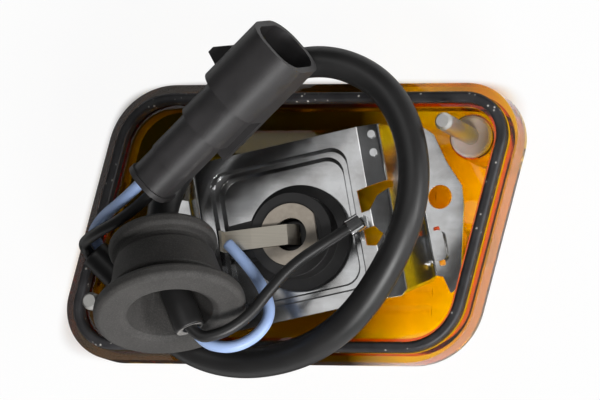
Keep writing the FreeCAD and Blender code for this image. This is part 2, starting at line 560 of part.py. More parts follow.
feature(filament, "Pad", sketch, "10.4", reverse=True)
sketch = new_sketch(filament, "YZ_Plane", "-1.7")
draw_circle(sketch, "0", CAP_END + " - 9.1", "0.4")
feature(filament, "Pad", sketch, "3.4")
for body in (cap, insulator, pip, glass, filament):
    place(body, "Dim.bulb_x", "Dim.bulb_y", "0", "Dim.bracket_turn")
    NODES.append(body)


def pair(label, first, second):
    """Two like solids as one node."""
    group = doc.addObject("Part::Compound", label + "_pair")
    group.Links = [first, second]
    group.Label = label
    doc.recompute()
    NODES.append(group)


# Mounting screws: heads sunk in the lens front, long shanks out of the back.
SCREW_END = "(Dim.boss_top + Dim.washer_thick + Dim.screw_reach)"
SHANK_END = "(Dim.boss_top + Dim.washer_thick + Dim.shank_rise)"
screws = []
washers = []
for sign in ("", "-"):
    screw = turned("screw" + ("_b" if sign else "_a"), [
        ("0", "Dim.head_seat - Dim.head_height"),
        ("Dim.head_dia / 2 - 0.8", "Dim.head_seat - Dim.head_height"),
        ("Dim.head_dia / 2", "Dim.head_seat - Dim.head_height + 0.8"),
        ("Dim.head_dia / 2", "Dim.head_seat"), ("Dim.shank_dia / 2", "Dim.head_seat"),
        ("Dim.shank_dia / 2", SHANK_END), ("Dim.screw_dia / 2", SHANK_END),
        ("Dim.screw_dia / 2", SCREW_END + " - Dim.screw_tip_length"),
        ("Dim.screw_tip_dia / 2", SCREW_END), ("0", SCREW_END)])
    sketch = new_sketch(screw)
    draw_polygon(sketch, [("-3", "-0.5"), ("3", "-0.5"), ("3", "0.5"), ("-3", "0.5")])
    feature(screw, "Pocket", sketch, "Dim.head_seat - Dim.head_height + 1.2", reverse=True)
    place(screw, sign + BOSS_X, sign + BOSS_Y)
    screws.append(screw)
    washer = turned("washer" + ("_b" if sign else "_a"), [
        ("Dim.shank_dia / 2 + Dim.washer_grip", "Dim.boss_top"),
        ("Dim.washer_dia / 2", "Dim.boss_top"),
        ("Dim.washer_dia / 2", "Dim.boss_top + 0.7 * Dim.washer_thick"),
        ("Dim.washer_dia / 2 - 0.6", "Dim.boss_top + Dim.washer_thick"),
        ("Dim.shank_dia / 2 + Dim.washer_grip", "Dim.boss_top + Dim.washer_thick")])
    place(washer, sign + BOSS_X, sign + BOSS_Y)
    washers.append(washer)
pair("mounting_screws", *screws)
pair("screw_washers", *washers)


def axes(forward, sideways):
    """Rotation whose Z is forward and whose X lies nearest sideways."""
    z = Vector(*forward)
    z.normalize()
    x = Vector(*sideways) - z * z.dot(Vector(*sideways))
    x.normalize()
    return Rotation(x, z.cross(x), z, "ZXY")


def place_free(body, point, rotation):
    """Place a piece of the cable; its height is kept above the lens rim."""
    x, y, z = point
    body.Placement = Placement(Vector(x, y, val("Dim.lens_depth + %.3f" % z)), rotation)
    body.setExpression("Placement.Base.z", "Dim.lens_depth + %.3f" % z)


# Grommet: black rubber, wide flange, groove for the panel, conical waist and small flange.
GROMMET_AXIS = (0.262, -0.891, 0.370)
GROMMET_REAR = (-23.7, -6.5, 18.9)
FRONT = "Dim.grommet_length"
WIDE = "Dim.grommet_front_dia / 2"
SMALL = "Dim.grommet_rear_dia / 2"
WAIST = "Dim.grommet_waist_dia / 2"
SLOT = FRONT + " - Dim.grommet_flange"
grommet = turned("grommet", [
    ("Dim.grommet_bore / 2", "0"), (SMALL + " - 0.8", "0"), (SMALL, "0.8"), (SMALL, "2.6"),
    (SMALL + " - 0.6", "3.2"), (WAIST, "3.5"), (WAIST, "5.1"), (WAIST + " + 1.0", "5.5"),
    (WAIST + " + 2.8", SLOT + " - 3.0"), ("Dim.grommet_neck_dia / 2", SLOT + " - 2.5"),
    ("Dim.grommet_neck_dia / 2", SLOT + " - 0.5"), (WIDE + " - 0.7", SLOT),
    (WIDE, SLOT + " + 0.7"), (WIDE, FRONT + " - 0.9"), (WIDE + " - 0.9", FRONT),
    ("Dim.grommet_mouth / 2 + 1.2", FRONT), ("Dim.grommet_mouth / 2", FRONT + " - 0.9"),
    ("Dim.grommet_bore / 2", "5.0")])
place_free(grommet, GROMMET_REAR, axes(GROMMET_AXIS, (1, 0, 0)))
NODES.append(grommet)

# Connector: black two-way housing with a deep oval mouth, a rail, a catch and a rear collar.
PLUG_AXIS = (0.735, 0.652, 0.191)
PLUG_SIDE = (0.664, -0.748, -0.10)
PLUG_REAR = (-24.8, 5.3, 25.2)
housing = new_body("connector_housing")


def plug_block(level, length, wide, tall, radius, kind="Pad", reverse=False):
    sketch = new_sketch(housing, level=level)
    draw_rounded(sketch, wide, tall, "0", radius, radius)
    return feature(housing, kind, sketch, length, reverse)


HEAD = "(Dim.plug_length - Dim.plug_head)"
SHOULDER = "(%s - Dim.shoulder_length)" % HEAD
plug_block("0", "Dim.waist_length", "Dim.waist_wide", "Dim.plug_tall - 0.8", "4.2")
plug_block("0", "Dim.lip_length", "Dim.lip_wide", "Dim.plug_tall + 0.2", "4.6")
plug_block("Dim.waist_length - 0.5", SHOULDER + " - Dim.waist_length + 1", "Dim.plug_wide",
           "Dim.plug_tall", "Dim.plug_radius")
plug_block(SHOULDER, "Dim.shoulder_length + 1", "Dim.shoulder_wide", "Dim.plug_tall + 1.2",
           "Dim.plug_radius + 0.6")
plug_block(HEAD, "Dim.plug_head", "Dim.head_wide", "Dim.head_tall", "6.4")
plug_block("Dim.plug_length", "Dim.mouth_depth", "Dim.head_wide - 2 * Dim.mouth_wall",
           "Dim.head_tall - 2 * Dim.mouth_wall", "4.9", "Pocket")
plug_block("0", "Dim.cap_depth", "Dim.cap_wide", "Dim.cap_tall", "2.4", "Pocket", True)
ledge = new_sketch(housing, level=HEAD + " - Dim.ledge_length + 0.5")
draw_polygon(ledge, [("Dim.plug_wide / 2 - 2.4", "Dim.ledge_drop"), ("Dim.head_wide / 2", "Dim.ledge_drop"),
                     ("Dim.head_wide / 2", "Dim.ledge_drop + 2.2"),
                     ("Dim.plug_wide / 2 - 2.4", "Dim.ledge_drop + 2.2")])
feature(housing, "Pad", ledge, "Dim.ledge_length")
catch = new_sketch(housing, "XZ_Plane", "-2.6")
draw_polygon(catch, [("-Dim.head_wide / 2 + 0.6", HEAD + " + 2.0"),
                     ("-Dim.head_wide / 2 + 0.6", HEAD + " + 8.6"),
                     ("-Dim.head_wide / 2 - 1.2", HEAD + " + 7.4"),
                     ("-Dim.head_wide / 2 - 3.4", HEAD + " + 4.6"),
                     ("-Dim.head_wide / 2 - 3.4", HEAD + " + 3.0")])
feature(housing, "Pad", catch, "5.2")
turn = axes(PLUG_AXIS, PLUG_SIDE)
rear_cap = new_body("connector_rear_cap")
sketch = new_sketch(rear_cap, level="0.3")
draw_rounded(sketch, "Dim.cap_wide - 2 * Dim.fit_clear", "Dim.cap_tall - 2 * Dim.fit_clear", "0",
             "2.35", "2.35")
draw_circle(sketch, "-Dim.wire_pitch / 2", "0", "Dim.seal_dia / 2")
draw_circle(sketch, "Dim.wire_pitch / 2", "0", "Dim.seal_dia / 2")
feature(rear_cap, "Pad", sketch, "Dim.cap_depth - 0.3")
for body in (housing, rear_cap):
    place_free(body, PLUG_REAR, turn)
    NODES.append(body)
pins = []
seals = []
for sign in ("-", ""):
    pin = new_body("pin" + ("_a" if sign else "_b"))
    sketch = new_sketch(pin, level="Dim.plug_length - Dim.mouth_depth")
    draw_rounded(sketch, "Dim.pin_wide", "Dim.pin_wide", "0", "0.3", "0.3",
                 sign + "Dim.pin_pitch / 2")
    feature(pin, "Pad", sketch, "Dim.mouth_depth - 5")
    seal = turned("seal" + ("_a" if sign else "_b"), [
        ("Dim.wire_dia / 2 + Dim.seal_grip", "-0.7"), ("Dim.seal_dia / 2 - 0.15", "-0.7"),
        ("Dim.seal_dia / 2 - Dim.seal_grip", "-0.3"),
        ("Dim.seal_dia / 2 - Dim.seal_grip", "Dim.cap_depth - 0.4"),
        ("Dim.wire_dia / 2 + Dim.seal_grip", "Dim.cap_depth - 0.4")])
    shift = turn.multVec(Vector(val(sign + "Dim.wire_pitch / 2"), 0, 0))
    place_free(pin, PLUG_REAR, turn)
    place_free(seal, [a + b for a, b in zip(PLUG_REAR, shift)], turn)
    pins.append(pin)
    seals.append(seal)
pair("connector_pins", *pins)
pair("wire_seals", *seals)

# Cable: tubes along straight runs joined by tangent arcs; heights are above the lens rim.
RIM = val("Dim.lens_depth")
WIRE = val("Dim.wire_dia")


def rounded_path(points, label, diameter):
    """Wire of straight runs and tangent arcs through a list of corner points."""
    points = [Vector(*p) for p in points]
    edges = []
    start = points[0]
    least = 1e9
    for before, corner, after in zip(points, points[1:], points[2:]):
        back = before - corner
        ahead = after - corner
        shorter = min(back.Length, ahead.Length)
        back.normalize()
        ahead.normalize()
        half_turn = (math.pi - back.getAngle(ahead)) / 2
        reach = 0.45 * shorter
        radius = reach / math.tan(half_turn)
        least = min(least, radius)
        first = corner + back * reach
        last = corner + ahead * reach
        inward = back + ahead
        inward.normalize()
        mid = corner + inward * (math.hypot(radius, reach) - radius)
        edges.append(Part.makeLine(start, first))
        edges.append(Part.Arc(first, mid, last).toShape())
        start = last
    edges.append(Part.makeLine(start, points[-1]))
    path = Part.Wire(edges)
    print("%s least radius %.1f mm, %.1f diameters, length %.1f mm" % (
        label, least, least / diameter, path.Length))
    return path


def tube(label, points, diameter, bore=0.0, bore_depth=0.0):
    """Round cord along a route; its two ends may be bored for the wires inside."""
    path = rounded_path(points, label, diameter)
    start = Vector(*points[0])
    ahead = Vector(*points[1]) - start
    profile = Part.Wire(Part.makeCircle(diameter / 2, start, ahead))
    solid = path.makePipeShell([profile], True, False)
    expected = math.pi * diameter ** 2 / 4 * path.Length
    if abs(solid.Volume / expected - 1) > 0.02:
        raise ValueError("%s is not a clean tube" % label)
    if bore:
        for here, there in ((points[0], points[1]), (points[-1], points[-2])):
            inward = Vector(*there) - Vector(*here)
            solid = solid.cut(Part.makeCylinder(bore / 2, bore_depth, Vector(*here), inward))
    item = doc.addObject("Part::Feature", label + "_tube")
    item.Label = label
    item.Shape = solid
    NODES.append(item)
    return item


SHEATH = [
    (-42.5, -8.5, 11.0), (-33.8, -16.6, 8.6), (-27.0, -25.4, 6.7), (-18.4, -30.9, 6.1),
    (-8.5, -33.0, 6.7), (2.0, -32.0, 8.2), (12.0, -28.6, 10.6), (20.8, -22.2, 13.4),
    (28.4, -12.0, 16.0), (33.4, -1.0, 17.6), (34.4, 10.0, 18.0), (31.6, 21.0, 18.0),
    (25.0, 29.6, 18.4), (14.6, 34.0, 19.4), (3.6, 32.8, 19.4), (-6.2, 27.4, 17.2),
    (-15.9, 19.2, 13.8), (-26.4, 2.7, 14.9), (-21.6, -13.6, 21.9), (-15.0, -26.8, 22.4)]


def lifted(points):
    return [(x, y, z + RIM) for x, y, z in points]


def along_end(end, inner, depth, side):
    """Point on the line of a sheath end, outwards for negative depth, moved sideways."""
    run = Vector(*inner) - Vector(*end)
    run.normalize()
    across = Vector(*side) - run * run.dot(Vector(*side))
    across.normalize()
    point = Vector(*end) + run * depth + across * (WIRE / 2 + 0.02)
    return (point.x, point.y, point.z)


def rear_point(sign, depth):
    """Point on the line of one connector way, measured from the rear of the housing."""
    local = Vector(sign * val("Dim.wire_pitch") / 2, 0, depth)
    point = Vector(*PLUG_REAR) + turn.multVec(local)
    return (point.x, point.y, point.z)


tube("cable_sheath", lifted(SHEATH), val("Dim.sheath_dia"), val("Dim.sheath_bore"),
     val("Dim.sheath_bore_depth"))
BORED = val("Dim.sheath_bore_depth") - 0.4
UP = (0, 0, 1)
DOWN = (0, 0, -1)
blue_lamp = [along_end(SHEATH[-1], SHEATH[-2], BORED, DOWN),
             along_end(SHEATH[-1], SHEATH[-2], -2.6, DOWN),
             (-6.4, -31.2, 21.0), (-0.3, -28.2, 19.4), (2.2, -22.7, 17.2), (-0.5, -16.6, 15.8),
             (-5.0, -11.0, 15.2), (-9.8, -6.6, 14.4)]
tube("wire_blue_lamp", lifted(blue_lamp), WIRE)
dip = math.radians(CRIMP_DIP)
heading = math.radians(CRIMP_TURN + val("Dim.bracket_turn"))
run = Vector(math.cos(heading) * math.cos(dip), math.sin(heading) * math.cos(dip), -math.sin(dip))
swing = Rotation(Vector(0, 0, 1), val("Dim.bracket_turn"))
eye = swing.multVec(Vector(CRIMP[0], CRIMP[1], 0))
eye += Vector(val("Dim.bulb_x"), val("Dim.bulb_y"), val("Dim.plate_height + Dim.crimp_rise"))
near = eye - run * 7.0
far = eye + run * (val("Dim.crimp_length") / 2 - 0.2)
black_lamp = [along_end(SHEATH[-1], SHEATH[-2], BORED, UP),
              along_end(SHEATH[-1], SHEATH[-2], -2.6, UP),
              (-7.1, -28.0, 23.6), (-1.4, -24.0, 22.6), (2.3, -18.0, 20.6), (6.6, -11.8, 17.6),
              (near.x, near.y, near.z), (far.x, far.y, far.z)]
tube("wire_black_lamp", lifted(black_lamp), WIRE)
INNER = (0.73, 0.65, 0.0)
OUTER = (-0.73, -0.65, 0.0)
blue_plug = [rear_point(-1, val("Dim.cap_depth") - 0.3), rear_point(-1, -7.0),
             (-39.2, -1.1, 16.8), along_end(SHEATH[0], SHEATH[1], -2.9, INNER),
             along_end(SHEATH[0], SHEATH[1], BORED, INNER)]
tube("wire_blue_plug", lifted(blue_plug), WIRE)
black_plug = [rear_point(1, val("Dim.cap_depth") - 0.3), rear_point(1, -8.0),
              (-41.6, -5.8, 18.4), along_end(SHEATH[0], SHEATH[1], -2.8, OUTER),
              along_end(SHEATH[0], SHEATH[1], BORED, OUTER)]
tube("wire_black_plug", lifted(black_plug), WIRE)

doc.recompute()
for item in doc.Objects:
    if "Invalid" in item.State or "Error" in item.State:
        raise ValueError("%s is not valid" % item.Label)
os.makedirs("parts", exist_ok=True)
for node in NODES:
    if node.Shape.isNull() or not node.Shape.isValid():
        raise ValueError("%s has no valid shape" % node.Label)
    node.Shape.exportStep("parts/%s.step" % node.Label)
    print("%s %.1f mm3, solids %d" % (node.Label, node.Shape.Volume, len(node.Shape.Solids)))
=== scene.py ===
import bmesh
import bpy
import numpy as np
from mathutils import Matrix, Vector


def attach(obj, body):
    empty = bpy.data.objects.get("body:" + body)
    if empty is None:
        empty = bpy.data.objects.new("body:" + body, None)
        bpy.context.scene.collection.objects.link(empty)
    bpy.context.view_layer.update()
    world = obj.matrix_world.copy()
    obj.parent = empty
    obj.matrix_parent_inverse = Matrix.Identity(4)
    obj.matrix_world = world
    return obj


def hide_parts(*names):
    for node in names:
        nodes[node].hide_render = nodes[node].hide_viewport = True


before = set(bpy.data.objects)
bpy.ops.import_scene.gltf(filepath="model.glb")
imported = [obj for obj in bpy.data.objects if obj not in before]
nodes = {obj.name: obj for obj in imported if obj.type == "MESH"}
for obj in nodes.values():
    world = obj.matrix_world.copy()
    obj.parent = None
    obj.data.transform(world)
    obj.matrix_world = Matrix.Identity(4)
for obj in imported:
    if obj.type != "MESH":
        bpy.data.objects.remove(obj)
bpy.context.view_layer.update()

# Lens: a slanted cup in clear amber acrylic, injection moulded in one shot, with a rim for the
# gasket, two screw bosses and pillars for the bracket. It lies on its face, the open back upwards.
FLOW_MARK = 0.009  # metres, as all sizes here: spacing of the soft ripples that the melt leaves
AMBER_DEPTH = 1800.0  # strength of the tint for each metre of depth


def linear(code):
    """Linear colour with alpha from an sRGB hex code: the sRGB curve undone for each channel."""
    share = np.array([int(code[i:i + 2], 16) for i in (1, 3, 5)]) / 255
    value = np.where(share <= 0.04045, share / 12.92, ((share + 0.055) / 1.055) ** 2.4)
    return (*value.tolist(), 1.0)


def add(tree, kind, inputs=None, **settings):
    """Adds one shader node, sets its properties and fills its inputs with values or links."""
    node = tree.nodes.new("ShaderNode" + kind)
    for key, value in settings.items():
        setattr(node, key, value)
    for key, value in (inputs or {}).items():
        if isinstance(value, bpy.types.NodeSocket):
            tree.links.new(value, node.inputs[key])
        else:
            node.inputs[key].default_value = value
    return node


def new_finish(name):
    """Empty material, its node tree, and the Object coordinates on which its patterns are laid."""
    finish = bpy.data.materials.new(name)
    finish.use_nodes = True
    finish.node_tree.nodes.clear()
    return finish, finish.node_tree, add(finish.node_tree, "TexCoord").outputs["Object"]


def dress(piece, *finishes):
    """Gives a piece its materials in place of what it had."""
    piece.data.materials.clear()
    for finish in finishes:
        piece.data.materials.append(finish)


# Glossy from the mould. The tint is in the depth of the acrylic, so thick stretches look darker and
# redder than the face, and light that passes through to other pieces is coloured by the depth too.
amber, tree, place = new_finish("amber_acrylic_moulded")
flow = add(tree, "TexNoise", {"Vector": place, "Scale": 1 / FLOW_MARK, "Detail": 2.0})
ripple = add(tree, "Bump", {"Height": flow.outputs["Fac"], "Strength": 0.04, "Distance": 0.0004})
rough = add(tree, "MapRange", {"Value": flow.outputs["Fac"], "To Min": 0.02, "To Max": 0.07})
body = add(tree, "BsdfPrincipled", {
    "Base Color": linear("#F6F6F4"), "Roughness": rough.outputs["Result"], "IOR": 1.49,
    "Specular IOR Level": 0.3, "Transmission Weight": 1.0, "Normal": ripple.outputs["Normal"]})
clear = add(tree, "BsdfTransparent", {"Color": linear("#F6F6F4")})
ray = add(tree, "LightPath")
mixed = add(tree, "MixShader", {
    0: ray.outputs["Is Shadow Ray"], 1: body.outputs[0], 2: clear.outputs[0]})
tint = add(tree, "VolumeAbsorption", {"Color": (0.99, 0.95, 0.0, 1.0), "Density": AMBER_DEPTH})
add(tree, "OutputMaterial", {"Surface": mixed.outputs[0], "Volume": tint.outputs[0]})
dress(nodes["lens"], amber)

# Gasket: black rubber cord, extruded, joined to a ring and pressed into the groove of the rim.
# It seals the lens against the vehicle's panel.
GASKET_CLOUD = 0.004
DUST_SPACING = 0.0016  # coarser than real dust, so that it shows
RUBBER_GRAIN = 0.0005
SHADE_1, SHADE_2, BLEND = 6, 7, 2  # the colour sockets of a Mix node: two in, one out

# Matt and nearly black, in two close shades, with a few pale specks where the clouds are light.
rubber, tree, place = new_finish("black_rubber_extruded")
cloud = add(tree, "TexNoise", {"Vector": place, "Scale": 1 / GASKET_CLOUD, "Detail": 4.0})
shade = add(tree, "MapRange", {"Value": cloud.outputs["Fac"], "From Min": 0.35, "From Max": 0.7})
grey = add(tree, "Mix", {
    "Factor": shade.outputs["Result"], SHADE_1: linear("#222123"), SHADE_2: linear("#363537")},
    data_type="RGBA")
grain = add(tree, "TexVoronoi", {"Vector": place, "Scale": 1 / DUST_SPACING})
dot = add(tree, "MapRange", {
    "Value": grain.outputs["Distance"], "From Min": 0.1, "From Max": 0.2, "To Min": 1.0,
    "To Max": 0.0})
rare = add(tree, "MapRange", {"Value": cloud.outputs["Fac"], "From Min": 0.5, "From Max": 0.56})
speck = add(tree, "Math", {0: dot.outputs["Result"], 1: rare.outputs["Result"]},
            operation="MULTIPLY")
dusty = add(tree, "Mix", {
    "Factor": speck.outputs[0], SHADE_1: grey.outputs[BLEND], SHADE_2: linear("#C9C6C0")},
    data_type="RGBA")
fine = add(tree, "TexNoise", {"Vector": place, "Scale": 1 / RUBBER_GRAIN, "Detail": 2.0})
skin = add(tree, "Bump", {"Height": fine.outputs["Fac"], "Strength": 0.15, "Distance": 0.0001})
body = add(tree, "BsdfPrincipled", {
    "Base Color": dusty.outputs[BLEND], "Roughness": 0.5, "Normal": skin.outputs["Normal"]})
add(tree, "OutputMaterial", {"Surface": body.outputs[0]})
dress(nodes["perimeter_gasket"], rubber)

# Bracket: bulb carrier pressed from thin steel sheet, zinc plated and set on the lens's pillars.
# Its die leaves every edge a little round. The barrel under its pan is drawn from the same sheet.
ROLLED = (60.0, 900.0, 300.0)  # one over the streaks' sizes: about 17 mm long and 1 mm wide
ROLLED_TURN = -0.22  # radians, to run along the pan
STAIN = 0.006
SHEET_WAVE = 0.012
PRESSED_EDGE = 0.00028
MERGE = 0.000005  # corners of the CAD mesh closer than this are one
FLAT, CREASE, SHARP = 0.02, 0.5, 0.6  # radians between two faces


def new_piece(name, corners, faces):
    """Smooth shaded mesh object at the origin from a list of corners and one of faces."""
    mesh = bpy.data.meshes.new(name)
    mesh.from_pydata(corners, [], faces)
    mesh.shade_smooth()
    piece = bpy.data.objects.new(name, mesh)
    bpy.context.scene.collection.objects.link(piece)
    return piece


def eased(name, node, width, finish):
    """Copy of a CAD node with its corners merged and its flat faces joined. Edges whose faces meet
    at more than the sharp angle are rounded by a width, or less where short edges leave no room."""
    shape = bmesh.new()
    shape.from_mesh(nodes[node].data)
    bmesh.ops.remove_doubles(shape, verts=shape.verts, dist=MERGE)
    bmesh.ops.dissolve_limit(shape, angle_limit=FLAT, verts=shape.verts, edges=shape.edges)
    shape.verts.index_update()
    piece = new_piece(name, [tuple(v.co) for v in shape.verts],
                      [[v.index for v in f.verts] for f in shape.faces])
    shape.free()
    piece.data.set_sharp_from_angle(angle=CREASE)
    edge = piece.modifiers.new("rounded_edges", "BEVEL")
    edge.width = width
    edge.segments = 2
    edge.limit_method = "ANGLE"
    edge.angle_limit = SHARP
    edge.harden_normals = True
    dress(piece, finish)
    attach(piece, "root")
    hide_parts(node)
    return piece


# Nearly a mirror. The sheet is slightly wavy, so reflections run, and the plating has faint streaks
# along the rolling direction and cloudy stains.
zinc, tree, place = new_finish("steel_sheet_bright_zinc")
rolled = add(tree, "Mapping", {"Vector": place, "Scale": ROLLED, "Rotation": (0, 0, ROLLED_TURN)})
streak = add(tree, "TexNoise", {"Vector": rolled.outputs[0], "Scale": 1.0, "Detail": 3.0})
stain = add(tree, "TexNoise", {"Vector": place, "Scale": 1 / STAIN, "Detail": 5.0})
mottle = add(tree, "MapRange", {"Value": stain.outputs["Fac"], "From Min": 0.35, "From Max": 0.7})
colour = add(tree, "Mix", {
    "Factor": mottle.outputs["Result"], SHADE_1: linear("#D2D3D4"), SHADE_2: linear("#B4B3B2")},
    data_type="RGBA")
rough = add(tree, "MapRange", {
    "Value": streak.outputs["Fac"], "From Min": 0.3, "From Max": 0.7, "To Min": 0.18,
    "To Max": 0.22})
wave = add(tree, "TexNoise", {"Vector": place, "Scale": 1 / SHEET_WAVE, "Detail": 1.0})
dent = add(tree, "Bump", {"Height": wave.outputs["Fac"], "Strength": 0.3, "Distance": 0.0012})
scratch = add(tree, "Bump", {
    "Height": streak.outputs["Fac"], "Strength": 0.03, "Distance": 0.0002,
    "Normal": dent.outputs["Normal"]})
body = add(tree, "BsdfPrincipled", {
    "Base Color": colour.outputs[BLEND], "Metallic": 1.0, "Roughness": rough.outputs["Result"],
    "Normal": scratch.outputs["Normal"]})
add(tree, "OutputMaterial", {"Surface": body.outputs[0]})
dress(nodes["socket_shell"], zinc)
eased("bracket_pressing", "bracket", PRESSED_EDGE, zinc)

# Bulb holder: round block of black phenolic, compression moulded and fixed on the bracket's pan.
# It insulates the live contact from the earthed sheet.
MOULD_FLOW = 0.003
HOLDER_EDGE = 0.0003

# Satin black with fine flow marks.
phenolic, tree, place = new_finish("black_phenolic_moulded")
cloud = add(tree, "TexNoise", {"Vector": place, "Scale": 1 / MOULD_FLOW, "Detail": 4.0})
grey = add(tree, "Mix", {
    "Factor": cloud.outputs["Fac"], SHADE_1: linear("#161515"), SHADE_2: linear("#2B2A2A")},
    data_type="RGBA")
skin = add(tree, "Bump", {"Height": cloud.outputs["Fac"], "Strength": 0.1, "Distance": 0.0002})
body = add(tree, "BsdfPrincipled", {
    "Base Color": grey.outputs[BLEND], "Roughness": 0.48, "Normal": skin.outputs["Normal"]})
add(tree, "OutputMaterial", {"Surface": body.outputs[0]})
eased("holder_moulding", "socket_body", HOLDER_EDGE, phenolic)

# Ring: insulating disc punched from beige fibre board, lying on the holder under the live contact.
# The pressed fibres give it a matt face with a faint mottle.
FIBRE = 0.0012
fibre, tree, place = new_finish("beige_fibre_board_punched")
cloud = add(tree, "TexNoise", {"Vector": place, "Scale": 1 / FIBRE, "Detail": 5.0})
beige = add(tree, "Mix", {
    "Factor": cloud.outputs["Fac"], SHADE_1: linear("#8E8579"), SHADE_2: linear("#AEA497")},
    data_type="RGBA")
skin = add(tree, "Bump", {"Height": cloud.outputs["Fac"], "Strength": 0.2, "Distance": 0.0002})
body = add(tree, "BsdfPrincipled", {
    "Base Color": beige.outputs[BLEND], "Roughness": 0.6, "Normal": skin.outputs["Normal"]})
add(tree, "OutputMaterial", {"Surface": body.outputs[0]})
dress(nodes["contact_washer"], fibre)

# Live contact: strip of tinned spring bronze that reaches over the ring and down to the bulb.
# It is brushed along its length. The plug's pins and the bulb's contact have the same grey tin.
BRUSHED = (120.0, 2500.0, 600.0)  # one over the marks' sizes: about 8 mm long and 0.4 mm wide
BRUSHED_TURN = -0.12  # radians, to run along the strip
tinned, tree, place = new_finish("spring_bronze_tinned")
brushed = add(tree, "Mapping", {
    "Vector": place, "Scale": BRUSHED, "Rotation": (0, 0, BRUSHED_TURN)})
streak = add(tree, "TexNoise", {"Vector": brushed.outputs[0], "Scale": 1.0, "Detail": 3.0})
colour = add(tree, "Mix", {
    "Factor": streak.outputs["Fac"], SHADE_1: linear("#B5AFA2"), SHADE_2: linear("#CFC8BB")},
    data_type="RGBA")
rough = add(tree, "MapRange", {"Value": streak.outputs["Fac"], "To Min": 0.25, "To Max": 0.45})
body = add(tree, "BsdfPrincipled", {
    "Base Color": colour.outputs[BLEND], "Metallic": 1.0, "Roughness": rough.outputs["Result"]})
add(tree, "OutputMaterial", {"Surface": body.outputs[0]})
for name in ("contact_strip", "connector_pins", "bulb_contact"):
    dress(nodes[name], tinned)

# Bulb: drawn brass cap with a black insulator, a blown glass envelope and a grey wire filament.
# It is held in the barrel by its bayonet pins and hidden from the back of the lamp.
BRASS_CLOUD = 0.002
GLASS_WAVE = 0.005

# Warm, satin brass in two close shades.
brass, tree, place = new_finish("cap_brass_drawn")
cloud = add(tree, "TexNoise", {"Vector": place, "Scale": 1 / BRASS_CLOUD, "Detail": 3.0})
colour = add(tree, "Mix", {
    "Factor": cloud.outputs["Fac"], SHADE_1: linear("#C9A45A"), SHADE_2: linear("#E0C07A")},
    data_type="RGBA")
body = add(tree, "BsdfPrincipled", {
    "Base Color": colour.outputs[BLEND], "Metallic": 1.0, "Roughness": 0.28})
add(tree, "OutputMaterial", {"Surface": body.outputs[0]})
dress(nodes["bulb_cap"], brass)
dress(nodes["bulb_insulator"], phenolic)
dress(nodes["bulb_filament"], tinned)

# Clear glass, a little uneven from blowing, so what is behind it bends softly.
glass, tree, place = new_finish("clear_glass_blown")
wave = add(tree, "TexNoise", {"Vector": place, "Scale": 1 / GLASS_WAVE, "Detail": 1.0})
skin = add(tree, "Bump", {"Height": wave.outputs["Fac"], "Strength": 0.05, "Distance": 0.0003})
body = add(tree, "BsdfPrincipled", {
    "Base Color": linear("#F4F8F6"), "Roughness": 0.02, "IOR": 1.5, "Transmission Weight": 1.0,
    "Normal": skin.outputs["Normal"]})
add(tree, "OutputMaterial", {"Surface": body.outputs[0]})
dress(nodes["bulb_glass"], glass)

# Screws: cold headed from steel wire, zinc plated and pushed through the lens from the front.
# Handling has scuffed them, so their gloss is uneven.
SCUFF = 0.0015
plated, tree, place = new_finish("screw_steel_zinc_plated")
scuff = add(tree, "TexNoise", {"Vector": place, "Scale": 1 / SCUFF, "Detail": 4.0})
colour = add(tree, "Mix", {
    "Factor": scuff.outputs["Fac"], SHADE_1: linear("#B9B8B3"), SHADE_2: linear("#DAD9D6")},
    data_type="RGBA")
rough = add(tree, "MapRange", {"Value": scuff.outputs["Fac"], "To Min": 0.25, "To Max": 0.5})
skin = add(tree, "Bump", {"Height": scuff.outputs["Fac"], "Strength": 0.25, "Distance": 0.0002})
body = add(tree, "BsdfPrincipled", {
    "Base Color": colour.outputs[BLEND], "Metallic": 1.0, "Roughness": rough.outputs["Result"],
    "Normal": skin.outputs["Normal"]})
add(tree, "OutputMaterial", {"Surface": body.outputs[0]})
dress(nodes["mounting_screws"], plated)

# Washers: discs of natural nylon, moulded, pushed over the screws to keep them in the lens.
# They are milky, and light spreads a millimetre or two inside them.
NYLON_CLOUD = 0.003
nylon, tree, place = new_finish("natural_nylon_moulded")
cloud = add(tree, "TexNoise", {"Vector": place, "Scale": 1 / NYLON_CLOUD, "Detail": 3.0})
milk = add(tree, "Mix", {
    "Factor": cloud.outputs["Fac"], SHADE_1: linear("#EBCFC0"), SHADE_2: linear("#F6E4DA")},
    data_type="RGBA")
body = add(tree, "BsdfPrincipled", {
    "Base Color": milk.outputs[BLEND], "Roughness": 0.45, "IOR": 1.53, "Transmission Weight": 0.35,
    "Subsurface Weight": 0.5, "Subsurface Radius": (0.002, 0.0015, 0.001)})
add(tree, "OutputMaterial", {"Surface": body.outputs[0]})
dress(nodes["screw_washers"], nylon)

# Grommet: flanged ring of black rubber, compression moulded, threaded on the lead.
# It lines the hole in the vehicle's panel.
RUBBER_CLOUD = 0.006
PORE = 0.0003
GROMMET_EDGE = 0.0005

